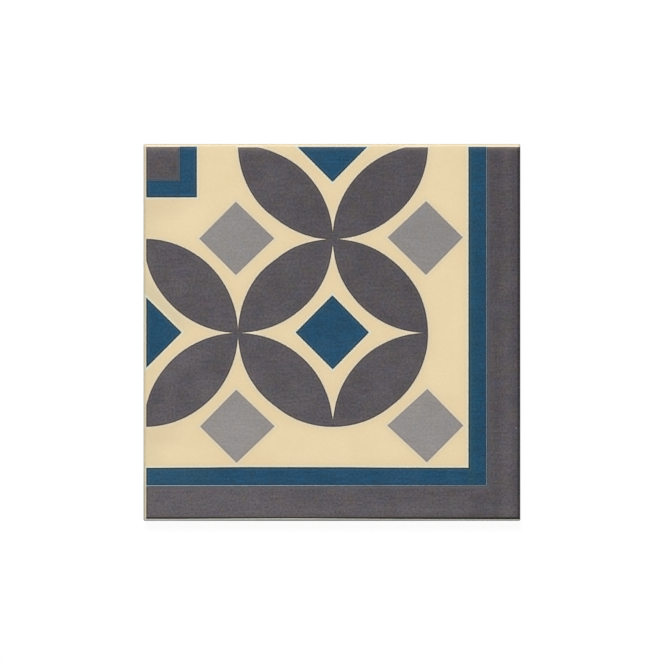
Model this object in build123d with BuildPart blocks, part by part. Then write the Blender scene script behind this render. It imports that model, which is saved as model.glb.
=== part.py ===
# Corner tile: one dust-pressed, glazed ceramic floor or wall tile.
#
# One fired piece, so one solid. It lies flat with its printed face up (+Z),
# origin at the centre of the back, X to the right and Y up as the face is read.
# The border runs along the +X and -Y edges, so the outer corner is at (+X, -Y).
# Millimetres.
import os

from build123d import *

# ---- driving dimensions -------------------------------------------------
side = 151.0            # face width and length at the widest, a 6 inch tile
thick = 7.0             # back plane to face
arris_r = 1.2           # rounded edge of the face, 3 pixels wide in plan
corner_r = 0.6          # the four upright corners, nearly square

land_low = 2.0          # the upright butt edge runs from here to the arris
draft_in = 0.5          # the edge leans in by this much below the land
back_chamfer = 0.4      # pressed chamfer round the back

key_count = 10          # keying recesses each way on the back
key_pitch = 13.5
key_side = 11.0         # so the ribs between them are 2.5 wide at the back
key_corner = 1.5
key_depth = 0.6
key_taper = 30.0        # draft of the recess walls, degrees

half = side / 2
flat_half = half - arris_r
foot_half = half - draft_in
back_half = foot_half - back_chamfer
length = side + 20.0    # sections run past the tile before they are crossed


def section():
    """The tile's cross-section: face, arris, butt edge, draft, back chamfer."""
    Polyline(
        (flat_half, thick),
        (-flat_half, thick),
    )
    RadiusArc((-flat_half, thick), (-half, thick - arris_r), -arris_r)
    Polyline(
        (-half, thick - arris_r),
        (-half, land_low),
        (-foot_half, back_chamfer),
        (-back_half, 0.0),
        (back_half, 0.0),
        (foot_half, back_chamfer),
        (half, land_low),
        (half, thick - arris_r),
    )
    RadiusArc((half, thick - arris_r), (flat_half, thick), -arris_r)


# ---- the tile -----------------------------------------------------------
with BuildPart() as tile:
    # the same section is run both ways and crossed, which mitres the arris,
    # the draft and the chamfer at the four corners
    with BuildSketch(Plane.XZ) as front_section:
        with BuildLine():
            section()
        make_face()
    extrude(amount=length / 2, both=True)

    with BuildSketch(Plane.YZ) as side_section:
        with BuildLine():
            section()
        make_face()
    extrude(amount=length / 2, both=True, mode=Mode.INTERSECT)

    # upright corners just blunted
    with BuildSketch(Plane.XY) as plan:
        RectangleRounded(side, side, corner_r)
    extrude(amount=thick, mode=Mode.INTERSECT)

    # keyed back: a grid of shallow drafted recesses, ribs left standing
    with BuildSketch(Plane.XY) as keys:
        with GridLocations(key_pitch, key_pitch, key_count, key_count):
            RectangleRounded(key_side, key_side, key_corner)
    extrude(amount=key_depth, taper=key_taper, mode=Mode.SUBTRACT)

tile.part.label = "corner_tile"

os.makedirs("parts", exist_ok=True)
export_step(tile.part, "parts/corner_tile.step")

box = tile.part.bounding_box()
print("size", round(box.size.X, 3), round(box.size.Y, 3), round(box.size.Z, 3))
print("volume mm3", round(tile.part.volume, 1), "solids", len(tile.part.solids()))
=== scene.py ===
import math

import bpy
import numpy as np
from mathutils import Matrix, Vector, noise
from mathutils.geometry import delaunay_2d_cdt


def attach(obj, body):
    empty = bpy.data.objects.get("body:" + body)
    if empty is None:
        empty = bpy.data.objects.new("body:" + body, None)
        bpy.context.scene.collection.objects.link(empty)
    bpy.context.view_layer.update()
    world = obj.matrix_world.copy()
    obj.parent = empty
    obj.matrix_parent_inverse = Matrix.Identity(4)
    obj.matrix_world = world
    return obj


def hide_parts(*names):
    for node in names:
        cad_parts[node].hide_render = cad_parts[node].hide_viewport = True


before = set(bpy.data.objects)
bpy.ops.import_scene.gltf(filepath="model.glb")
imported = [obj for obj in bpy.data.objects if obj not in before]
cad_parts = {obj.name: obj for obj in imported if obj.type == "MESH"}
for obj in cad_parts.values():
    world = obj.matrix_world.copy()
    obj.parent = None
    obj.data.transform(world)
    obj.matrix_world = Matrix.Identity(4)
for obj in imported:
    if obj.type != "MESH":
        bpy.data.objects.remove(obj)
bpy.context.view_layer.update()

# ---------------------------------------------------------------- dimensions, mm
SIDE = 151.0
HALF = SIDE / 2
THICK = 7.0
ARRIS = 1.2            # rounded edge of the face
CORNER = 0.6           # upright corners
FILM = 0.02            # thickness of the printed film
FILM_EDGE = 0.13       # width of the film's sloping edge
PILLOW = 0.07          # how far the face rolls down before the arris
PILLOW_RUN = 3.4       # over this much of the face's margin
LAND_LOW = 2.0         # foot of the upright butt edge
DRAFT = 0.5
CHAMFER = 0.4

KEYS, KEY_PITCH, KEY_SIDE, KEY_CORNER, KEY_DEPTH = 10, 13.5, 11.0, 1.5, 0.6

# Where the print's window ends: left and top on the face (each ink in its own register),
# the foot just over the arris and slightly bowed, the right edge run right over.
WIN_L, WIN_T, WIN_T_BLUE = -74.37, 74.20, 74.30
FOOT_X = (-75.5, -61.0, -35.0, -17.0, 0.0, 18.0, 45.0, 75.5)
FOOT_Y = (-74.70, -74.69, -74.53, -74.47, -74.55, -74.68, -74.79, -74.87)

# Circles of the petal lattice: centre, pitch across and up, radius
PET_X, PET_Y = 0.36, -0.22
PET_PX, PET_PY, PET_R = 37.77, 37.68, 37.77

# Border and corner motif
BLUE_X0, BLUE_X1 = 54.62, 61.87
BLUE_Y1 = -61.28
HEAD_X = (-74.37, -63.0, -50.0, -37.6, 7.2, 20.0, 45.0, 54.62)            # its inner edge bows a little
HEAD_Y = (-54.18, -54.10, -54.03, -53.89, -53.93, -54.06, -54.13, -54.12)
BAND_X = 61.946                       # charcoal band starts here: a bare hairline between
BAND_YL, BAND_YR = -61.49, -61.345    # the lower hairline is wider at the left
SQ_X, SQ_Y = -61.02, 60.96            # charcoal square of the corner motif
SQB_X, SQB_Y = -61.005, 60.93         # blue starts here, a thinner hairline between
MOT_X, MOT_Y = -54.02, 53.98          # outer corner of the blue


# Where ink has filled the narrow ends between petals: up, right, down, left of each joint,
# and half the width
WEBS = ((0.9, 1.5, 0.6, 0.5, 0.07), (1.7, 1.7, 1.5, 2.3, 0.07), (0.4, 0.2, 0.4, 1.35, 0.14))

# Two pinholes in the charcoal: place and radius
PINHOLES = ((73.72, -38.25, 0.26), (5.05, -71.55, 0.16))


# ---------------------------------------------------------------- plan shapes
def half_planes_window(d, top):
    return [(-1.0, 0.0, -WIN_L + d), (0.0, 1.0, top + d)]


def clip(poly, planes):
    """Convex polygon cut by half planes nx*x + ny*y <= c."""
    for nx, ny, c in planes:
        out = []
        for i, p in enumerate(poly):
            q = poly[(i + 1) % len(poly)]
            a = nx * p[0] + ny * p[1] - c
            b = nx * q[0] + ny * q[1] - c
            if a <= 0:
                out.append(p)
            if (a < 0 < b) or (b < 0 < a):
                t = a / (a - b)
                out.append((p[0] + t * (q[0] - p[0]), p[1] + t * (q[1] - p[1])))
        poly = out
        if not poly:
            break
    return poly


def inside_convex(poly):
    """Half planes of a convex counter-clockwise polygon."""
    out = []
    for i, p in enumerate(poly):
        q = poly[(i + 1) % len(poly)]
        nx, ny = q[1] - p[1], p[0] - q[0]
        l = math.hypot(nx, ny)
        if l > 1e-9:
            out.append((nx / l, ny / l, (nx * p[0] + ny * p[1]) / l))
    return out


class Shape:
    """A printed shape: sd is the distance to its outline, free to the edges that meet bare glaze."""

    top = WIN_T

    def window(self, x, y):
        return np.maximum(WIN_L - x, y - self.top)

    def free(self, x, y):
        return self.sd(x, y)


class Lens(Shape):
    """A petal: what two circles of the lattice share, cut off at the window. The print is
    a little out of round: out_a and out_b say how far each arc stands out along its run."""

    top = WIN_T - 0.07
    ALONG = (-1.0, -0.775, -0.465, -0.155, 0.155, 0.465, 0.775, 1.0)

    def __init__(self, a, b, out_a, out_b):
        a, b = (np.array((PET_X + k[0] * PET_PX, PET_Y + k[1] * PET_PY)) for k in (a, b))
        span = math.acos(float(np.hypot(*(b - a))) / (2 * PET_R))
        self.arcs = []
        for p, q, out in ((a, b, out_a), (b, a, out_b)):
            self.arcs.append((p, math.atan2(q[1] - p[1], q[0] - p[0]), span, out))

    def reach(self, k, turn):
        """Radius of arc k, turn from its middle."""
        _, _, span, out = self.arcs[k]
        return PET_R + np.interp(turn / span, self.ALONG, out)

    def arc_sd(self, k, x, y):
        p, mid, _, _ = self.arcs[k]
        turn = (np.arctan2(y - p[1], x - p[0]) - mid + math.pi) % (2 * math.pi) - math.pi
        return np.hypot(x - p[0], y - p[1]) - self.reach(k, turn)

    def sd(self, x, y):
        return np.maximum(np.maximum(self.arc_sd(0, x, y), self.arc_sd(1, x, y)), self.window(x, y))

    def at(self, k, turn, d):
        p, mid, _, _ = self.arcs[k]
        r = self.reach(k, turn) + d
        return p[0] + r * math.cos(mid + turn), p[1] + r * math.sin(mid + turn)

    def end(self, k, side, d):
        """Where arc k meets the other arc, towards one side."""
        lo, hi = 0.0, 1.35 * self.arcs[k][2]
        for _ in range(50):
            m = (lo + hi) / 2
            if self.arc_sd(1 - k, *self.at(k, side * m, d)) < d:
                lo = m
            else:
                hi = m
        return side * lo

    def outline(self, d):
        pts = []
        for k in (0, 1):
            t0, t1 = self.end(k, -1, d), self.end(k, 1, d)
            n = 56
            pts += [self.at(k, t0 + (t1 - t0) * i / n, d) for i in range(n)]
        return clip(pts, half_planes_window(d, self.top))


class Web(Shape):
    """Ink filling the four narrow ends round a joint of the petals, blunt at each end."""

    def __init__(self, at, reach):
        self.c, self.reach = at, reach

    def corners(self):
        x, y = self.c
        up, right, down, left, w = self.reach
        return [(x + right, y - w), (x + right, y + w), (x + w, y + up), (x - w, y + up),
                (x - left, y + w), (x - left, y - w), (x - w, y - down), (x + w, y - down)]

    def sd(self, x, y):
        d = np.full(np.shape(x), -1e9)
        for nx, ny, c in inside_convex(self.corners()):
            d = np.maximum(d, nx * x + ny * y - c)
        return d

    def outline(self, d):
        return self.corners() if d in (0.0, 0.3) else []


class Diamond(Shape):
    """A square set on its point, a little out of true: right, top, left and foot corners,
    cut off at the window."""

    def __init__(self, corners, top=WIN_T):
        self.corners, self.top = corners, top
        self.planes = inside_convex(corners)

    def sd(self, x, y):
        d = self.window(x, y)
        for nx, ny, c in self.planes:
            d = np.maximum(d, nx * x + ny * y - c)
        return d

    def outline(self, d):
        pts = []
        for i in range(4):
            (ax, ay, ac), (bx, by, bc) = self.planes[i - 1], self.planes[i]
            det = ax * by - ay * bx
            pts.append((((ac + d) * by - ay * (bc + d)) / det, (ax * (bc + d) - (ac + d) * bx) / det))
        return clip(pts, half_planes_window(d, self.top))


class BlueBorder(Shape):
    top = WIN_T_BLUE

    def head_y(self, x):
        return np.interp(x, HEAD_X, HEAD_Y)

    def free(self, x, y):
        return np.maximum(np.minimum(BLUE_X0 - x, y - self.head_y(x)), self.window(x, y))

    def sd(self, x, y):
        return np.maximum(np.maximum(x - BLUE_X1, BLUE_Y1 - y), self.free(x, y))

    def outline(self, d):
        return [
            (BLUE_X0 - d, self.top + d), (BLUE_X0 - d, HEAD_Y[-1] + d),
            *[(x, y + d) for x, y in zip(HEAD_X[-2:0:-1], HEAD_Y[-2:0:-1])], (WIN_L - d, HEAD_Y[0] + d),
            (WIN_L - d, BLUE_Y1 - d), (BLUE_X1 + d, BLUE_Y1 - d), (BLUE_X1 + d, self.top + d),
        ]


class CharcoalBorder(Shape):
    """The outer band. Its right edge runs over the arris, its foot bows a little."""

    top = WIN_T + 0.035
    head = (BAND_YR - BAND_YL) / (BAND_X - WIN_L)

    def foot_y(self, x):
        return np.interp(x, FOOT_X, FOOT_Y)

    def head_y(self, x):
        return BAND_YL + (x - WIN_L) * self.head

    def free(self, x, y):
        return np.maximum(self.foot_y(x) - y, self.window(x, y))

    def sd(self, x, y):
        return np.maximum(np.minimum(BAND_X - x, y - self.head_y(x)), self.free(x, y))

    def outline(self, d):
        far = HALF + 3
        return [
            (BAND_X - d, self.top + d), (BAND_X - d, self.head_y(BAND_X) + d),
            (WIN_L - d, self.head_y(WIN_L) + d), (WIN_L - d, self.foot_y(WIN_L) - d),
            *[(x, y - d) for x, y in zip(FOOT_X[1:-1], FOOT_Y[1:-1])],
            (far, self.foot_y(far) - d), (far, self.top + d),
        ]


class MotifSquare(Shape):
    top = WIN_T + 0.09

    def free(self, x, y):
        return self.window(x, y)

    def sd(self, x, y):
        return np.maximum(np.maximum(x - SQ_X, SQ_Y - y), self.free(x, y))

    def outline(self, d):
        return [(WIN_L - d, SQ_Y - d), (SQ_X + d, SQ_Y - d), (SQ_X + d, self.top + d), (WIN_L - d, self.top + d)]


class MotifBlue(Shape):
    top = WIN_T_BLUE + 0.10

    def free(self, x, y):
        return np.maximum(np.maximum(x - MOT_X, MOT_Y - y), self.window(x, y))

    def sd(self, x, y):
        return np.maximum(np.minimum(SQB_X - x, y - SQB_Y), self.free(x, y))

    def outline(self, d):
        return [
            (SQB_X - d, self.top + d), (SQB_X - d, SQB_Y + d), (WIN_L - d, SQB_Y + d),
            (WIN_L - d, MOT_Y - d), (MOT_X + d, MOT_Y - d), (MOT_X + d, self.top + d),
        ]


PETALS = [
    Lens((0, 0), (1, 1), (0.40, 0.38, 0.40, 0.04, -0.20, -0.11, -0.13, -0.14), (0.06, 0.04, 0.15, 0.01, -0.01, 0.05, 0.02, -0.09)),
    Lens((0, 0), (-1, 1), (-0.16, -0.20, -0.08, -0.41, 0.13, 0.17, 0.20, 0.20), (-0.12, -0.12, -0.02, 0.00, 0.11, 0.15, 0.07, 0.08)),
    Lens((0, 0), (-1, -1), (0.20, 0.22, 0.20, 0.01, -0.39, -0.13, -0.08, -0.08), (0.20, 0.06, 0.07, 0.08, 0.01, -0.02, -0.08, -0.08)),
    Lens((0, 0), (1, -1), (-0.08, -0.08, -0.06, -0.24, 0.08, 0.31, 0.48, 0.44), (-0.09, 0.03, 0.03, 0.15, 0.09, 0.15, 0.04, 0.19)),
    Lens((-1, 1), (0, 2), (0.08, 0.12, 0.01, -0.01, 0.00, -0.25, -0.25, -0.21), (0.25, 0.26, 0.20, 0.17, -0.31, -0.09, 0.24, 0.08)),
    Lens((1, 1), (0, 2), (-0.08, -0.08, -0.10, -0.01, 0.02, 0.07, 0.14, 0.10), (0.05, 0.05, -0.06, -0.11, 0.12, 0.40, 0.42, 0.40)),
    Lens((-1, 1), (-2, 0), (0.19, 0.19, 0.19, 0.05, 0.02, 0.00, 0.04, -0.08), (-0.15, -0.14, -0.19, -0.10, -0.07, -0.04, -0.01, -0.01)),
    Lens((-1, -1), (-2, 0), (-0.06, 0.02, -0.02, 0.09, 0.09, 0.21, 0.22, 0.22), (-0.07, -0.07, -0.08, -0.14, -0.12, -0.18, -0.13, -0.14)),
]
NODES = [
    (PET_X, PET_Y + PET_PY), (PET_X - PET_PX, PET_Y), (PET_X + PET_PX, PET_Y), (PET_X, PET_Y - PET_PY),
]
SHAPES = {
    "charcoal": PETALS + [CharcoalBorder(), MotifSquare()] + [Web(n, r) for n, r in zip(NODES, WEBS)],
    "blue": [
        Diamond(((14.97, -0.02), (0.18, 14.94), (-14.63, -0.03), (0.32, -14.94))),
        Diamond(((15.10, 75.17), (0.24, 90.06), (-14.67, 75.12), (0.27, 60.11)), WIN_T_BLUE - 0.04),
        Diamond(((-60.07, -0.02), (-75.14, 14.85), (-90.0, -0.03), (-75.04, -15.01))),
        BlueBorder(), MotifBlue(),
    ],
    "grey": [
        Diamond(((-23.01, 37.63), (-38.44, 52.40), (-53.19, 37.54), (-38.44, 22.89))),
        Diamond(((52.51, 37.99), (37.77, 52.67), (22.20, 37.98), (37.67, 22.90))),
        Diamond(((-22.85, -37.61), (-38.30, -22.83), (-52.86, -37.67), (-38.17, -52.29))),
        Diamond(((52.69, -37.31), (38.23, -22.58), (22.11, -37.28), (38.01, -52.09))),
    ],
}


def nearest(x, y):
    """Distance to the nearest printed outline, negative inside, which ink is there or is
    nearest, and the distance to that ink's free edges."""
    best = np.full(np.shape(x), 1e9)
    ink = np.zeros(np.shape(x), int)
    by = np.zeros(np.shape(x), int)
    rim = np.full(np.shape(x), 1e9)
    for k, name in enumerate(("charcoal", "blue", "grey"), 1):
        for s in SHAPES[name]:
            d = s.sd(x, y)
            ink = np.where(d < 0, k, ink)
            by = np.where(d < best, k, by)
            rim = np.where(d <= 1e-6, np.minimum(rim, s.free(x, y)), rim)
            best = np.minimum(best, d)
    return best, ink, by, rim


# ---------------------------------------------------------------- the outline of the tile
def inset_edge(x, y):
    """How far inside the tile's plan outline a point is."""
    r = CORNER
    qx, qy = np.abs(x) - (HALF - r), np.abs(y) - (HALF - r)
    out = np.hypot(np.maximum(qx, 0), np.maximum(qy, 0)) + np.minimum(np.maximum(qx, qy), 0) - r
    return -out


def ring(e, step=1.6, arc=5):
    """Closed plan ring at inset e, the same number of points whatever e is."""
    r = max(CORNER - 0.85 * e, 0.05)
    flat = HALF - e - r
    n = int(round(2 * (HALF - CORNER) / step))
    pts = []
    for turn in range(4):
        c, s = math.cos(turn * math.pi / 2), math.sin(turn * math.pi / 2)
        side = [(HALF - e, -flat + 2 * flat * k / n) for k in range(n + 1)]
        side[n - 1] = (HALF - e, flat - 0.665)      # where the ink ends on the right edge
        for k in range(1, arc):
            t = math.pi / 2 * k / arc
            side.append((flat + r * math.cos(t), flat + r * math.sin(t)))
        pts += [(c * x - s * y, s * x + c * y) for x, y in side]
    return pts


class Plan:
    """Points and lines for one triangulation."""

    def __init__(self):
        self.pts, self.lines = [], []

    def loop(self, pts, step=None):
        if len(pts) < 3:
            return
        run = []
        for i, p in enumerate(pts):
            q = pts[(i + 1) % len(pts)]
            n = 1 if step is None else max(1, int(math.ceil(math.hypot(q[0] - p[0], q[1] - p[1]) / step)))
            run += [(p[0] + (q[0] - p[0]) * k / n, p[1] + (q[1] - p[1]) * k / n) for k in range(n)]
        start = len(self.pts)
        self.pts += run
        self.lines += [(start + i, start + (i + 1) % len(run)) for i in range(len(run))]

    def cut_loop(self, pts, lim, step):
        """The part of an outline that lies within lim of the middle, both ways."""
        if all(abs(x) <= lim and abs(y) <= lim for x, y in pts):
            return self.loop(pts, step)
        for i, p in enumerate(pts):
            q = pts[(i + 1) % len(pts)]
            t0, t1 = 0.0, 1.0
            for a, b in zip(p, q):
                if abs(b - a) < 1e-12:
                    t1 = t1 if abs(a) <= lim else -1.0
                    continue
                u, w = sorted(((-lim - a) / (b - a), (lim - a) / (b - a)))
                t0, t1 = max(t0, u), min(t1, w)
            if t1 - t0 < 1e-9:
                continue
            n = max(1, int(math.ceil((t1 - t0) * math.dist(p, q) / step)))
            start = len(self.pts)
            self.pts += [(p[0] + (q[0] - p[0]) * t, p[1] + (q[1] - p[1]) * t) for t in (t0 + (t1 - t0) * k / n for k in range(n + 1))]
            self.lines += [(start + k, start + k + 1) for k in range(n)]

    def triangulate(self):
        v, _, f, ov, _, _ = delaunay_2d_cdt([Vector(p) for p in self.pts], self.lines, [], 0, 6e-3)
        where = {}
        for i, origins in enumerate(ov):
            for o in origins:
                where[o] = i
        return np.array([tuple(p) for p in v]), [tuple(t) for t in f], where


# ---------------------------------------------------------------- printed face
face = Plan()
RIM_ANGLES = (90, 78, 66, 54, 42, 30, 18, 8, 0)
insets = [ARRIS * (1 - math.sin(math.radians(a))) for a in RIM_ANGLES]
face.loop(ring(0.0))
n_rim = len(face.pts)
for e in insets[1:]:
    face.loop(ring(e))
for e in (1.9, 2.7, 3.6, ARRIS + PILLOW_RUN):
    face.loop(ring(e, 1.9, 2))
LEVELS = (2.4, 0.8, 0.3, 0.0, -FILM_EDGE, -0.55, -1.2)
for name, shapes in SHAPES.items():
    for s in shapes:
        for d in LEVELS:
            poly = s.outline(d)
            if len(poly) >= 3:
                face.cut_loop(poly, HALF - insets[2], 1.7)
grid = np.arange(-72.0, 72.01, 2.0)
gx, gy = np.meshgrid(grid, grid)
gx = (gx + 0.6 * (np.arange(len(grid)) % 2)[:, None]).ravel()
gy = gy.ravel()
near = nearest(gx, gy)[0]
keep = (np.abs(near) > 1.1) & (np.minimum(np.abs(near - 2.4), np.abs(near + 1.2)) > 0.5)
face.pts += list(zip(gx[keep], gy[keep]))
for x, y, r in PINHOLES:
    for k in (1.0, 0.55):
        face.loop([(x + k * r * math.cos(t * math.pi / 5), y + k * r * math.sin(t * math.pi / 5)) for t in range(10)])
    face.pts.append((x, y))

fp, ft, fmap = face.triangulate()
fx, fy = fp[:, 0], fp[:, 1]
fsd, _, f_by, f_rim = nearest(fx, fy)
fe = np.maximum(inset_edge(fx, fy), 0.0)


def smooth(t):
    t = np.clip(t, 0, 1)
    return t * t * (3 - 2 * t)


def waves(x, y, size, seed):
    return np.array([noise.noise(Vector((a / size, b / size, seed))) for a, b in zip(x, y)])


film = smooth(-fsd / FILM_EDGE)
roll = np.clip((ARRIS + PILLOW_RUN - fe) / PILLOW_RUN, 0, 1)
d_arris = np.clip(ARRIS - fe, 0, ARRIS)
drop = ARRIS - np.sqrt(np.maximum(ARRIS**2 - d_arris**2, 0))
lie = 0.006 * (waves(fx, fy, 9.0, 3.7) - 1) + 0.010 * (waves(fx, fy, 38.0, 8.2) - 1)
fz = THICK - FILM * (1 - film) - PILLOW * roll**2 - drop + lie * np.clip(fe / ARRIS, 0, 1)
for x, y, r in PINHOLES:
    fz = fz - 0.45 * r * smooth(1.0 - np.hypot(fx - x, fy - y) / r)
fz = fz - fz.max() + THICK


def crowd(x, y):
    """How much of the ground round about, some 8 mm, is printed."""
    got, total = np.zeros(np.shape(x)), 0.0
    for r, n in ((2.2, 6), (4.4, 12), (6.6, 16), (8.8, 16)):
        w = r / n * math.exp(-((r / 4.0) ** 2) / 2)
        for k in range(n):
            t = 2 * math.pi * (k + 0.5) / n
            px, py = x + r * math.cos(t), y + r * math.sin(t)
            hit = np.zeros(np.shape(x), bool)
            for shapes in SHAPES.values():
                for s in shapes:
                    hit |= s.sd(px, py) < 0
            got += w * hit
            total += w
    return got / total


# what the materials are told about each point: distance to the print, to the edges that
# meet bare glaze, to the blue, to a joint of the petals, and to the edge of the tile,
# and how crowded the print is there
bare_at = fsd > 0
f_crowd = np.zeros(len(fx))
f_crowd[bare_at] = crowd(fx[bare_at], fy[bare_at])
node_gap = [np.hypot(fx - a, fy - b) for a, b in NODES]
node_gap[2] = np.where(fx > NODES[2][0] - 0.2, 99.0, node_gap[2])
node_gap[3] = np.where(fy < NODES[3][1] + 0.2, 99.0, node_gap[3])
node_gap = np.min(node_gap, axis=0)
JOINTS = [(*NODES[0], 3.4), (*NODES[1], 3.4), (NODES[2][0] - 1.9, NODES[2][1], 1.3), (NODES[3][0], NODES[3][1] + 2.4, 1.7)]
joint = np.max([np.clip(1 - np.hypot(fx - a, fy - b) / r, 0, 1) for a, b, r in JOINTS], axis=0)
foot_bow = np.where(fy < -HALF + ARRIS, 0.23 * np.clip(1 - ((fx + 6.0) / 56.0) ** 2, 0, 1) - 0.05, 0.0)
f_seam = np.where(fsd <= 1e-6, np.where(f_rim < fsd - 0.02, fsd, -3.0), -3.0)
f_rim = np.where(fsd <= 1e-6, f_rim - 1.1 * smooth(1.4 * joint), 0.0)

tri = np.array(ft)
mx, my = fx[tri].mean(1), fy[tri].mean(1)
f_ink = nearest(mx, my)[1]
f_slot = f_ink.copy()                        # 0 glaze, 1 charcoal, 2 blue, 3 grey
bare = (my < -HALF + ARRIS) & (mx > -HALF + 0.35) & (f_ink == 0) & (-my > np.abs(mx) - 0.2)
bare |= (my < -HALF + 2) & (mx > HALF - 2) & (f_ink == 0)
f_slot[bare] = 5                             # pale foot of the lower arris
gap_border = (f_ink == 0) & (mx < HALF - ARRIS) & (my < WIN_T) & (mx > WIN_L) & (
    ((mx > BLUE_X1 - 0.01) & (mx < BAND_X + 0.01) & (my > BLUE_Y1 - 0.3))
    | ((my < BLUE_Y1 + 0.01) & (my > BAND_YL - 0.01) & (mx < BAND_X + 0.01))
)
gap_motif = (f_ink == 0) & (mx > WIN_L) & (my < WIN_T) & (mx < SQB_X + 0.01) & (my > SQB_Y - 0.01)
f_slot[gap_border | gap_motif] = 6           # bare hairline between two inks
for x, y, r in PINHOLES:
    f_slot[np.hypot(mx - x, my - y) < 0.6 * r] = 5

# ---------------------------------------------------------------- butt edges
rim = [fmap[i] for i in range(n_rim)]
verts = [tuple(p) for p in np.column_stack((fx, fy, fz))]
told = {
    "print_edge": list(np.clip(fsd, -3, 3)), "rim_edge": list(np.clip(f_rim, -3, 3)), "seam_edge": list(np.clip(f_seam, -3, 0)),
    "beside_blue": list((f_by == 2).astype(float)), "tip": list(np.clip(1.35 - node_gap / 7.0, 0, 1)), "inset": list(np.clip(fe - foot_bow, 0, 8)),
    "crowd": list(f_crowd),
}


def tell_plain(inset):
    for k, v in (("print_edge", 3.0), ("rim_edge", -3.0), ("seam_edge", -3.0), ("beside_blue", 0.0), ("tip", 0.0), ("inset", inset), ("crowd", 0.0)):
        told[k].append(v)


faces = [tuple(t) for t in ft]
slots = list(f_slot)
uvs = {}


def to_unit(v):
    return (v + HALF) / SIDE


U0, TOP = 0.004, 0.75
for k, t in enumerate(ft):
    uvs[k] = [(U0 + TOP * to_unit(fx[i]), U0 + TOP * to_unit(fy[i])) for i in t]

# face triangles sharing a rim edge hand their ink to the wall below it
under = {}
for t, s in zip(ft, f_slot):
    for a, b in ((t[0], t[1]), (t[1], t[2]), (t[2], t[0])):
        under[(a, b)] = s
levels = [("glaze", 5.15, 0.0), ("body", 3.6, 0.0), ("body", LAND_LOW, 0.0), ("body", 1.2, DRAFT / 2), ("body", CHAMFER, DRAFT),
          ("body", 0.0, DRAFT + CHAMFER)]
plan0 = ring(0.0)
above = rim
run = np.cumsum([0.0] + [math.dist(plan0[i], plan0[(i + 1) % n_rim]) for i in range(n_rim)])
height_run = 0.0
per_side = n_rim // 4
STRIP_V, STRIP_H = 0.762, 0.056
last_z = [verts[i][2] for i in rim]
first_z = list(last_z)
for kind, z, e in levels:
    pts = ring(e)
    here = []
    for i, (x, y) in enumerate(pts):
        zz = z
        if kind == "glaze":
            a = Vector((plan0[i][0] / 7.0, plan0[i][1] / 7.0, 1.3))
            zz = z + 0.30 * noise.noise(a) + 0.12 * noise.noise(a * 4.1)
        here.append(len(verts))
        verts.append((x, y, zz))
        tell_plain(1.65 if kind == "glaze" else 1.0)
    for i in range(n_rim):
        j = (i + 1) % n_rim
        faces.append((above[i], here[i], here[j], above[j]))
        s = 4
        if kind == "glaze":
            s = under.get((rim[i], rim[j]), under.get((rim[j], rim[i]), 0))
            if s == 5:
                s = 4
        slots.append(s)
        side = i // per_side
        k = i % per_side
        def place(n, vi):
            return (U0 + TOP * n / per_side, STRIP_V + STRIP_H * (side + 0.95 * (1 - verts[vi][2] / THICK)))
        uvs[len(faces) - 1] = [place(k, above[i]), place(k, here[i]), place(k + 1, here[j]), place(k + 1, above[j])]
    above = here

# ---------------------------------------------------------------- keyed back
back = Plan()
foot = [verts[i][:2] for i in above]
back.loop(foot)
n_foot = len(back.pts)
KEY_RINGS = ((0.14, 0.0), (0.0, 0.045), (-0.12, 0.17), (-0.26, 0.44), (-0.36, 0.56), (-0.52, KEY_DEPTH))


def key_ring(cx, cy, grow):
    h, r = KEY_SIDE / 2 + grow, max(KEY_CORNER + grow, 0.4)
    pts = []
    for turn in range(4):
        c, s = math.cos(turn * math.pi / 2), math.sin(turn * math.pi / 2)
        for k in range(5):
            t = math.pi / 2 * k / 4
            x, y = h - r + r * math.cos(t), h - r + r * math.sin(t)
            pts.append((cx + c * x - s * y, cy + s * x + c * y))
    return pts


heights = {}
for iy in range(KEYS):
    for ix in range(KEYS):
        cx, cy = (ix - (KEYS - 1) / 2) * KEY_PITCH, (iy - (KEYS - 1) / 2) * KEY_PITCH
        for grow, z in KEY_RINGS:
            start = len(back.pts)
            back.loop(key_ring(cx, cy, grow))
            for i in range(start, len(back.pts)):
                heights[i] = z
bp, bt, bmap = back.triangulate()
bz = np.zeros(len(bp))
for i, z in heights.items():
    bz[bmap[i]] = z
at = {}
for i in range(n_foot):
    at[bmap[i]] = above[i]
for i in range(len(bp)):
    if i not in at:
        at[i] = len(verts)
        verts.append((bp[i][0], bp[i][1], bz[i]))
        tell_plain(1.0)
BACK_U, BACK_W = 0.766, 0.228
for t in bt:
    faces.append((at[t[2]], at[t[1]], at[t[0]]))
    slots.append(4)
    uvs[len(faces) - 1] = [
        (BACK_U + BACK_W * (1 - to_unit(bp[i][0])), U0 + TOP * to_unit(bp[i][1])) for i in (t[2], t[1], t[0])
    ]

# ---------------------------------------------------------------- the mesh
me = bpy.data.meshes.new("printed_tile")
me.from_pydata([(x * 0.001, y * 0.001, z * 0.001) for x, y, z in verts], [], faces)
me.validate()
me.polygons.foreach_set("material_index", np.array(slots, np.int32))
me.polygons.foreach_set("use_smooth", np.ones(len(me.polygons), bool))
for k, values in told.items():
    me.attributes.new(k, "FLOAT", "POINT").data.foreach_set("value", np.array(values, np.float32))
layer = me.uv_layers.new(name="OFBake")
flat_uv = np.zeros((len(me.loops), 2), np.float32)
for p in me.polygons:
    for k, li in enumerate(p.loop_indices):
        flat_uv[li] = uvs[p.index][k]
layer.uv.foreach_set("vector", flat_uv.ravel())
me.set_sharp_from_angle(angle=math.radians(32))
me.update()
tile = bpy.data.objects.new("printed_tile", me)
bpy.context.scene.collection.objects.link(tile)


# ---------------------------------------------------------------- materials
def lin(r, g, b):
    """sRGB 0-255 to linear."""
    def one(v):
        v /= 255.0
        return v / 12.92 if v <= 0.04045 else ((v + 0.055) / 1.055) ** 2.4
    return (one(r), one(g), one(b), 1.0)


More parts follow.
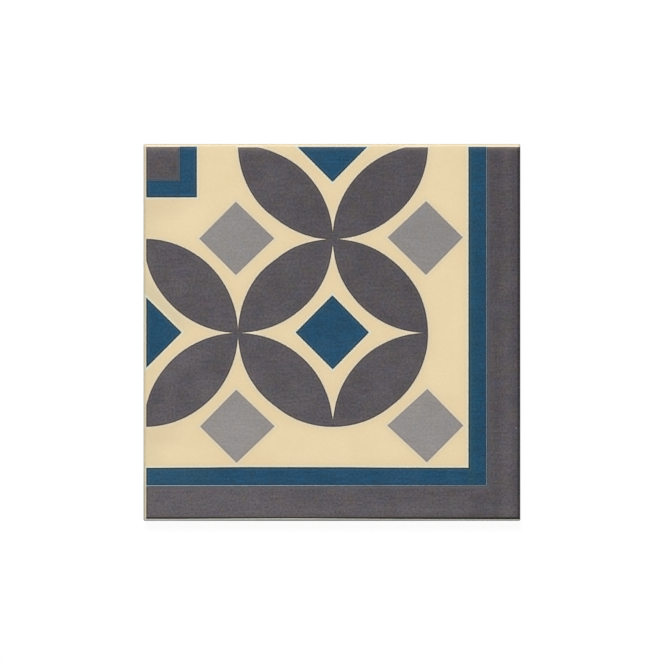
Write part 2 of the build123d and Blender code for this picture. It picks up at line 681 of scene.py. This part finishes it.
class Mat:
    """A Principled material with short helpers for its nodes."""

    def __init__(self, name):
        self.m = bpy.data.materials.new(name)
        self.m.use_nodes = True
        self.t = self.m.node_tree
        self.p = self.t.nodes["Principled BSDF"]
        self.coord = self.node("ShaderNodeTexCoord").outputs["Object"]

    def node(self, kind, **values):
        n = self.t.nodes.new(kind)
        for k, v in values.items():
            setattr(n, k, v)
        return n

    def link(self, a, b):
        self.t.links.new(a, b)

    def scaled(self, x, y, z):
        n = self.node("ShaderNodeMapping")
        n.inputs["Scale"].default_value = (x, y, z)
        self.link(self.coord, n.inputs["Vector"])
        return n.outputs["Vector"]

    def noise(self, per_m, detail=2.0, rough=0.5, vector=None, w=0.0):
        n = self.node("ShaderNodeTexNoise", noise_dimensions="4D")
        n.inputs["W"].default_value = w
        n.inputs["Scale"].default_value = per_m
        n.inputs["Detail"].default_value = detail
        n.inputs["Roughness"].default_value = rough
        self.link(vector or self.coord, n.inputs["Vector"])
        return n.outputs["Fac"]

    def ramp(self, value, *stops):
        n = self.node("ShaderNodeValToRGB")
        while len(n.color_ramp.elements) < len(stops):
            n.color_ramp.elements.new(0.5)
        for e, (pos, c) in zip(n.color_ramp.elements, stops):
            e.position, e.color = pos, (c, c, c, 1) if isinstance(c, (int, float)) else c
        self.link(value, n.inputs["Fac"])
        return n.outputs["Color"]

    def remap(self, value, a, b, c, d):
        n = self.node("ShaderNodeMapRange")
        for k, v in zip(("From Min", "From Max", "To Min", "To Max"), (a, b, c, d)):
            n.inputs[k].default_value = v
        self.link(value, n.inputs["Value"])
        return n.outputs["Result"]

    def math(self, op, a, b):
        n = self.node("ShaderNodeMath", operation=op)
        for s, v in zip(n.inputs, (a, b)):
            if isinstance(v, (int, float)):
                s.default_value = v
            else:
                self.link(v, s)
        return n.outputs[0]

    def mix(self, fac, a, b, blend="MIX"):
        n = self.node("ShaderNodeMix", data_type="RGBA", blend_type=blend)
        for s, v in ((n.inputs[0], fac), (n.inputs[6], a), (n.inputs[7], b)):
            if isinstance(v, (int, float)):
                s.default_value = v
            elif isinstance(v, tuple):
                s.default_value = v
            else:
                self.link(v, s)
        return n.outputs[2]

    def told(self, name):
        return self.node("ShaderNodeAttribute", attribute_name=name).outputs["Fac"]

    def bump(self, height, strength, distance):
        n = self.node("ShaderNodeBump")
        n.inputs["Strength"].default_value = strength
        n.inputs["Distance"].default_value = distance
        self.link(height, n.inputs["Height"])
        self.link(n.outputs["Normal"], self.p.inputs["Normal"])

    def finish(self, colour, rough, bump=None):
        self.link(colour, self.p.inputs["Base Color"])
        self.link(rough, self.p.inputs["Roughness"])
        if bump:
            self.bump(*bump)
        return self.m


def scale(m, colour, factor):
    n = m.node("ShaderNodeVectorMath", operation="SCALE")
    m.link(colour, n.inputs[0])
    m.link(factor, n.inputs["Scale"])
    return n.outputs[0]


def shade(m, colour, amount, value):
    """colour made lighter and darker by a 0..1 value round a half."""
    return scale(m, colour, m.remap(value, 0.0, 1.0, 1 - amount, 1 + amount))


def glaze_cream():
    m = Mat("cream_glaze")
    m.p.inputs["Specular IOR Level"].default_value = 0.2
    edge = m.told("print_edge")
    cloud = m.noise(70, 3, 0.55, w=1.0)
    col = m.ramp(cloud, (0.34, lin(233, 212.5, 171)), (0.5, lin(234.8, 215.1, 174.5)), (0.66, lin(236, 217, 177)))
    # painted shade: greyer and darker along the left margin, and a shade darker towards the head
    pos = m.node("ShaderNodeSeparateXYZ")
    m.link(m.coord, pos.inputs[0])
    x, y = pos.outputs["X"], pos.outputs["Y"]
    col = m.mix(m.ramp(m.remap(x, -0.0755, -0.066, 0, 1), (0.0, 0.75), (0.3, 0.6), (1.0, 0.0)), col, lin(220, 204.5, 166))
    # warmer where print crowds round it, and cooler above the blue half diamond
    col = m.mix(m.remap(m.told("crowd"), 0.12, 0.52, 0.0, 0.75), col, lin(229.5, 207, 166))
    cool = m.math("MULTIPLY", m.ramp(m.remap(y, -0.004, 0.026, 0, 1), (0.0, 0.0), (0.25, 1.0), (0.7, 1.0), (1.0, 0.0)), m.remap(x, -0.054, -0.062, 0, 1))
    col = m.mix(m.math("MULTIPLY", cool, 0.4), col, lin(199, 193, 166))
    # painted soft shadow: darker and browner just under the corner motif and under the lowest petal
    under = m.ramp(m.remap(y, -0.046, 0.054, 0, 1), (0.0, 0.0), (0.03, 0.4), (0.10, 0.4), (0.12, 0.0), (0.90, 0.0), (0.95, 0.45), (1.0, 0.5))
    col = m.mix(m.math("MULTIPLY", under, m.remap(x, -0.057, -0.064, 0, 1)), col, lin(219, 198, 163))
    # painted shade: a little darker towards the head
    col = scale(m, col, m.remap(y, 0.060, 0.074, 1.0, 0.975))
    # a paler, cooler line beside the ink, then a faint haze that dies away
    near = m.remap(edge, 0.0, 2.4, 0, 1)
    haze = m.ramp(near, (0.10, 0.0), (0.34, 0.54), (0.42, 0.40), (0.58, 0.10), (0.75, 0.04), (1.0, 0.0))
    pale = m.ramp(near, (0.0, 1.0), (0.20, 0.8), (0.36, 0.0))
    col = m.mix(m.math("MULTIPLY", haze, m.remap(x, -0.0745, -0.070, 0.3, 1.0)), col, lin(217, 207, 180))
    beside = m.mix(m.remap(y, 0.0735, 0.0742, 0, 1), m.mix(m.told("tip"), lin(225, 213, 190), lin(236, 230, 226)), lin(241, 229, 206))
    col = m.mix(pale, col, m.mix(m.told("beside_blue"), beside, lin(221, 223, 208)))
    # thinner and greyer over the arris, most on the left; painted shade darkens it towards the edge, most on the left
    # and at the outermost head, and it is darker and greyer near the edge at the lower left
    inset = m.remap(m.told("inset"), 0.0, 2.0, 0, 1)
    # painted shade: darker over the arris as it turns away from the light
    col = scale(m, col, m.ramp(inset, (0.0, 0.62), (0.2, 0.79), (0.42, 0.93), (0.62, 0.97), (0.8, 1.0)))
    left = m.remap(x, -0.0755, -0.0743, 0, 1)
    # painted shade: darker still over the left arris
    col = scale(m, col, m.ramp(left, (0.0, 0.80), (0.5, 0.88), (1.0, 1.0)))
    col = m.mix(m.ramp(left, (0.0, 0.30), (0.6, 0.18), (1.0, 0.0)), col, lin(214, 212, 200))
    col = m.mix(m.ramp(m.remap(y, 0.0743, 0.0755, 0, 1), (0.0, 0.0), (0.2, 0.12), (0.42, 0.16), (0.8, 0.09), (1.0, 0.05)), col, lin(244, 240, 226))
    # painted shade along the outermost edge of the head
    col = scale(m, col, m.remap(y, 0.0748, 0.0753, 1.0, 0.93))
    # darker and greyer near the edge at the lower left
    lower_left_grey = m.math("MULTIPLY", m.remap(y, -0.050, -0.064, 0, 1), m.ramp(m.told("inset"), (0.0, 0.8), (0.5, 0.6), (0.72, 0.0)))
    col = m.mix(m.math("MULTIPLY", lower_left_grey, m.remap(x, -0.0735, -0.0745, 0, 1)), col, lin(140, 138, 128))
    col = shade(m, col, 0.07, m.noise(1000, 2, 0.6, w=4.0))
    rough = m.remap(m.noise(160, 3, 0.6, w=2.0), 0.3, 0.7, 0.32, 0.40)
    return m.finish(col, rough, (m.noise(420, 2, 0.5, w=5.0), 0.25, 0.00004))


def ink(name, dark, mid, light, rim, rim_amount, inner, soft, seam, tints, grain, cloudy, painted_light_slope, w, head, runs=(), casts=(), tail=False):
    """A printed colour: grain, cloudy density, streaks of the squeegee, a darker rim."""
    m = Mat(name)
    m.p.inputs["Specular IOR Level"].default_value = 0.2
    pos = m.node("ShaderNodeSeparateXYZ")
    m.link(m.coord, pos.inputs[0])
    x, y = pos.outputs["X"], pos.outputs["Y"]
    cloud = m.noise(95, 4, 0.6, w=w)
    # painted light: the ink is lighter towards the lower left; density also falls off along single runs of the squeegee
    level = m.math("ADD", m.math("MULTIPLY", x, painted_light_slope[0]), m.math("MULTIPLY", y, painted_light_slope[1]))
    level = m.math("ADD", m.math("ADD", level, 0.5), m.remap(cloud, 0.3, 0.7, -cloudy, cloudy))
    for axis, lo, hi, stops, within in runs:
        add = m.math("SUBTRACT", m.ramp(m.remap(pos.outputs[axis], lo, hi, 0, 1), *[(k, 0.5 + v) for k, v in stops]), 0.5)
        if within:
            add = m.math("MULTIPLY", add, m.remap(pos.outputs[within[0]], within[1], within[2], 0, 1))
        level = m.math("ADD", level, add)
    col = m.ramp(level, (0.0, dark), (0.5, mid), (1.0, light))
    for axis, lo, hi, stops, cast, within in casts:
        amount = m.ramp(m.remap(pos.outputs[axis], lo, hi, 0, 1), *stops)
        if within:
            amount = m.math("MULTIPLY", amount, m.remap(pos.outputs[within[0]], within[1], within[2], 0, 1))
        col = m.mix(amount, col, cast)
    for k, (tint, amount) in enumerate(tints):
        col = m.mix(m.remap(m.noise(240 - 30 * k, 3, 0.65, w=w + 7 + k), 0.45, 0.70, 0.0, amount), col, tint)
    col = shade(m, col, grain, m.noise(1150, 2, 0.6, w=w + 3))
    col = shade(m, col, grain * 0.35, m.noise(1.0, 2, 0.5, vector=m.scaled(110, 1050, 1), w=w + 11))
    # beside bare glaze: a faint pale run, a dark line except at the head, and the thin lip of the film
    edge = m.told("rim_edge")
    near = m.remap(edge, -1.2, 0.0, 0, 1)
    pale = m.ramp(m.remap(edge, -1.6, 0.0, 0, 1), (0.0, 0.0), (0.30, 0.10), (0.52, 0.26), (0.68, 0.0))
    col = m.mix(m.math("MULTIPLY", pale, m.remap(m.told("tip"), 0.3, 1.0, 1.0, 0.0)), col, inner)
    dark_line = m.ramp(near, (0.42, 0.0), (0.60, rim_amount), (1.0, rim_amount))
    dark_line = m.math("MULTIPLY", dark_line, m.remap(y, 0.0730, 0.0736, 1.0, 0.1))
    if tail:
        dark_line = m.math("MULTIPLY", dark_line, m.remap(y, -0.0736, -0.0732, 0.1, 1.0))
    col = m.mix(dark_line, col, rim)
    col = m.mix(m.math("MULTIPLY", m.ramp(near, (0.72, 0.0), (1.0, 0.4)), m.remap(y, 0.0730, 0.0736, 1.0, 0.25)), col, soft)
    # ink thins at the head of the window; painted shade lays a dark line along the foot, where the print turns over the
    # arris away from the light
    thin = m.ramp(m.remap(y, 0.0722, 0.0742, 0, 1), (0.0, 0.0), (0.2, 0.03), (0.41, 0.06), (0.61, 0.09), (0.81, 0.17), (1.0, 0.20))
    col = m.mix(m.math("MULTIPLY", thin, head[0]), col, head[1])
    if tail:
        foot = m.remap(y, -0.0750, -0.0720, 0, 1)
        col = m.mix(m.ramp(foot, (0.0, 1.0), (0.33, 0.95), (0.405, 0.08), (0.55, 0.05), (1.0, 0.0)), col, lin(57, 57, 50))
    # beside another ink: its colour shows through, and a darker line at the very edge
    beside = m.remap(m.told("seam_edge"), -1.6, 0.0, 0, 1)
    col = m.mix(m.ramp(beside, (0.0, 0.0), (0.125, 0.1 * seam[1]), (0.375, 0.5 * seam[1]), (0.62, seam[1]), (0.85, seam[2]), (1.0, seam[2])), col,
                m.mix(m.remap(y, -0.0600, -0.0612, 0, 1), seam[0], seam[3]))
    col = scale(m, col, m.ramp(beside, (0.64, 1.0), (0.79, seam[4]), (1.0, seam[4])))
    # painted shade: the ink darkens over the arris as it turns away from the light
    inset = m.remap(m.told("inset"), 0.0, 2.0, 0, 1)
    col = scale(m, col, m.ramp(inset, (0.0, 0.26), (0.2, 0.34), (0.4, 0.50), (0.6, 0.75), (0.75, 0.94), (0.85, 1.0)))
    rough = m.remap(m.noise(700, 2, 0.6, w=w + 5), 0.3, 0.7, 0.31, 0.39)
    return m.finish(col, rough, (m.noise(1300, 2, 0.6, w=w + 9), 0.3, 0.00003))


def hairline():
    m = Mat("bare_hairline")
    m.p.inputs["Specular IOR Level"].default_value = 0.3
    col = m.ramp(m.noise(260, 3, 0.6, w=70.0), (0.35, lin(158, 186, 206)), (0.65, lin(188, 211, 226)))
    rough = m.remap(m.noise(600, 2, 0.6, w=72.0), 0.3, 0.7, 0.4, 0.5)
    return m.finish(col, rough, (m.noise(900, 2, 0.6, w=74.0), 0.2, 0.00003))


def body_clay(name, tone, w, arris=False):
    m = Mat(name)
    m.p.inputs["Specular IOR Level"].default_value = 0.3
    cloud = m.noise(60, 4, 0.6, w=w)
    col = m.ramp(cloud, (0.3, lin(*[v - 7 for v in tone])), (0.55, lin(*tone)), (0.75, lin(*[v + 5 for v in tone])))
    specks = m.noise(2600, 2, 0.6, w=w + 2)
    col = m.mix(m.ramp(specks, (0.64, 0.0), (0.72, 0.4)), col, lin(160, 142, 118))
    stains = m.noise(180, 4, 0.7, w=w + 10)
    col = m.mix(m.ramp(stains, (0.52, 0.0), (0.70, 0.3)), col, lin(*[v * 0.86 for v in tone]))
    if arris:
        # painted shade along its outer edge, where the arris turns down away from the light
        col = scale(m, col, m.ramp(m.remap(m.told("inset"), 0.0, 1.0, 0, 1), (0.0, 0.10), (0.19, 0.14), (0.30, 0.6), (0.40, 0.97), (1.0, 1.0)))
    else:
        # the same painted shade, dying away down the butt edge
        col = scale(m, col, m.ramp(m.remap(m.told("inset"), 0.0, 1.0, 0, 1), (0.0, 0.22), (0.25, 0.52), (0.6, 0.82), (1.0, 1.0)))
        # sandy grain, and a few darker grains of the clay
        col = shade(m, col, 0.16, m.noise(620, 3, 0.7, w=w + 12))
        col = m.mix(m.ramp(m.noise(1050, 1, 0.5, w=w + 14), (0.70, 0.0), (0.76, 0.5)), col, lin(150, 126, 98))
    col = shade(m, col, 0.06, m.noise(1500, 3, 0.65, w=w + 4))
    rough = m.remap(m.noise(900, 2, 0.6, w=w + 6), 0.3, 0.7, 0.78, 0.92)
    return m.finish(col, rough, (m.noise(1700, 4, 0.7, w=w + 8), 0.5, 0.00012))


# runs of the squeegee: along which axis, from where to where, stops with how much thinner,
# and the margin within which it holds
CHARCOAL_RUNS = (
    ("X", 0.0630, 0.0755, ((0.0, 0.0), (0.12, 0.0), (0.216, -0.17), (0.312, -0.08), (0.408, 0.10), (0.504, 0.26), (0.60, 0.25),
                           (0.696, 0.17), (0.76, -0.08), (0.824, -0.20)), None),
    ("X", -0.0755, 0.0755, ((0.0, 0.42), (0.063, 0.40), (0.28, 0.36), (0.354, 0.12), (0.42, -0.06), (0.55, -0.05), (0.86, -0.09), (0.91, -0.05)),
     ("Y", -0.052, -0.056)),
    ("Y", -0.0755, -0.0615, ((0.07, -0.05), (0.164, 0.08), (0.28, 0.26), (0.464, 0.09), (0.60, 0.0), (1.0, 0.0)), None),
    ("X", -0.0620, -0.0560, ((0.0, -0.2), (1.0, 0.0)), ("Y", 0.052, 0.056)),
    ("X", -0.0755, -0.0640, ((0.0, -0.34), (0.4, -0.3), (1.0, 0.0)), ("Y", -0.012, -0.024)),
    ("Y", 0.0690, 0.0725, ((0.0, 0.0), (1.0, 0.3)), ("X", 0.062, 0.058)),
)
BLUE_RUNS = (
    ("X", 0.0500, 0.0545, ((0.0, 0.0), (1.0, -0.34)), None),
    ("X", -0.0755, 0.0545, ((0.0, 0.26), (0.1, 0.16), (0.25, 0.12), (0.38, 0.0), (0.5, 0.02), (0.58, 0.14), (1.0, 0.10)), ("Y", -0.048, -0.052)),
    ("X", 0.0560, 0.0620, ((0.0, 0.0), (0.5, -0.05), (1.0, -0.12)), None),
)
# where the blue turns greener, and purer towards the head and the left: axis, from where to where, stops, colour, and the margin within which it holds
BLUE_CASTS = (
    ("X", 0.0540, 0.0620, ((0.0, 0.0), (0.08, 0.42), (0.36, 0.34), (0.52, 0.04), (1.0, 0.0)), lin(43, 86, 97), None),
    ("X", -0.0755, -0.0440, ((0.0, 0.45), (0.7, 0.42), (1.0, 0.0)), lin(52, 88, 106), ("Y", -0.048, -0.052)),
    ("X", -0.0500, -0.0560, ((0.0, 0.0), (1.0, 0.35)), lin(26, 75.5, 106), ("Y", -0.030, -0.020)),
    ("Y", 0.0300, 0.0400, ((0.0, 0.0), (1.0, 0.30)), lin(26, 75.5, 106), ("X", -0.030, -0.020)),
)
GREY_RUNS = (("X", 0.0, 0.030, ((0.0, 0.0), (1.0, 0.16)), ("Y", -0.01, -0.02)),)

MATS = [
    glaze_cream(),
    ink("charcoal_print", lin(78, 74, 78.5), lin(87.5, 84, 87.2), lin(100, 96, 99.5), lin(62, 52, 40), 0.74, lin(124, 110, 94), lin(196, 182, 158),
        (lin(84, 90, 100), 0.9, 0.95, lin(94, 98, 104), 0.74), ((lin(112, 92, 74), 0.22), (lin(84, 84, 114), 0.25), (lin(104, 78, 96), 0.16), (lin(74, 92, 82), 0.16)), 0.74, 0.32,
        (-3.2, -3.5), 20.0, (1.0, lin(190, 172, 142)), CHARCOAL_RUNS, tail=True),
    ink("blue_print", lin(29, 71, 97), lin(34.5, 76, 103.5), lin(41, 82, 111), lin(28, 40, 36), 0.92, lin(100, 110, 98), lin(176, 184, 170),
        (lin(48, 67, 83), 0.45, 0.85, lin(52, 70, 86), 0.96), ((lin(46, 70, 84), 0.32), (lin(20, 86, 128), 0.32)), 0.72, 0.5, (-0.3, -1.2), 40.0, (0.25, lin(170, 128, 60)),
        BLUE_RUNS, BLUE_CASTS),
    ink("grey_print", lin(138, 134.2, 132.2), lin(144.5, 141, 139.2), lin(152.4, 148, 146), lin(140, 125, 104), 0.55, lin(164, 150, 134), lin(204, 190, 166),
        (lin(140, 140, 140), 0.0, 0.0, lin(140, 140, 140), 1.0), ((lin(152, 138, 118), 0.22), (lin(136, 140, 156), 0.22)), 0.35, 0.30, (-2.4, -3.6), 60.0, (0.0, lin(204, 190, 166)), GREY_RUNS),
    body_clay("biscuit_body", (210, 200, 183), 80.0),
    body_clay("bare_arris", (222, 221, 214), 90.0, True),
    hairline(),
]
for m in MATS:
    me.materials.append(m)

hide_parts("corner_tile")
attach(tile, "root")

# ---------------------------------------------------------------- floor, light, camera
# the floor is open under the middle of the tile, where nothing shows
OUTER, OPEN = 3.0, 0.0744
floor_me = bpy.data.meshes.new("floor")
corners = ((-1, -1), (1, -1), (1, 1), (-1, 1))
floor_me.from_pydata(
    [(OUTER * x, OUTER * y, 0) for x, y in corners] + [(OPEN * x, OPEN * y, 0) for x, y in corners], [],
    [(i, (i + 1) % 4, 4 + (i + 1) % 4, 4 + i) for i in range(4)],
)
floor = bpy.data.objects.new("floor", floor_me)
bpy.context.scene.collection.objects.link(floor)
fm = Mat("floor_paper")
fm.link(fm.ramp(fm.noise(30, 2, 0.5, w=3.0), (0.3, lin(62, 62, 62)), (0.7, lin(65, 65, 64))), fm.p.inputs["Base Color"])
fm.p.inputs["Roughness"].default_value = 0.9
fm.p.inputs["Emission Color"].default_value = (1, 1, 1, 1)
fm.p.inputs["Emission Strength"].default_value = 0.94
floor.data.materials.append(fm.m)

# a pale room, dark overhead
world = bpy.data.worlds.new("studio")
bpy.context.scene.world = world
world.use_nodes = True
wt = world.node_tree
sky = wt.nodes["Background"]
way = wt.nodes.new("ShaderNodeTexCoord")
up = wt.nodes.new("ShaderNodeSeparateXYZ")
wt.links.new(way.outputs["Generated"], up.inputs[0])
tone = wt.nodes.new("ShaderNodeMapRange")
tone.inputs["From Min"].default_value, tone.inputs["From Max"].default_value = -1.0, 1.0
wt.links.new(up.outputs["Z"], tone.inputs["Value"])
shades = wt.nodes.new("ShaderNodeValToRGB")
for _ in range(4):
    shades.color_ramp.elements.new(0.5)
for e, (p, v) in zip(shades.color_ramp.elements, ((0.0, 0.80), (0.5, 1.0), (0.57, 1.0), (0.62, 0.48), (0.75, 0.17), (1.0, 0.03))):
    e.position, e.color = p, (v, v, v, 1)
wt.links.new(tone.outputs["Result"], shades.inputs["Fac"])
wt.links.new(shades.outputs["Color"], sky.inputs["Color"])
sky.inputs["Strength"].default_value = 1.0


def area(name, loc, size, power):
    d = bpy.data.lights.new(name, "AREA")
    d.shape, d.size, d.energy = "DISK", size, power
    o = bpy.data.objects.new(name, d)
    o.location = loc
    o.rotation_euler = (Vector((0, 0, 0)) - Vector(loc)).to_track_quat("-Z", "Y").to_euler()
    bpy.context.scene.collection.objects.link(o)


# one large soft light from the head of the tile, far enough away to be even
area("key", (-1.25, 5.75, 8.375), 3.75, 1056.0)

scene = bpy.context.scene
scene.view_settings.view_transform = "Standard"
scene.view_settings.look = "None"

PX_MM = 0.40035                     # one picture element on the face
cam_d = bpy.data.cameras.new("camera")
cam = bpy.data.objects.new("camera", cam_d)
scene.collection.objects.link(cam)
DIST = 1.6
cam.location = (0.00024, -0.00006, DIST)
cam.rotation_euler = (0, 0, 0)
cam_d.sensor_fit = "HORIZONTAL"
cam_d.sensor_width = 36.0
cam_d.lens = 36.0 * (DIST - THICK * 0.001) / (665 * PX_MM * 0.001)
cam_d.clip_start, cam_d.clip_end = 0.05, 20.0
scene.camera = cam

print("tile mesh: %d vertices, %d faces" % (len(me.vertices), len(me.polygons)))
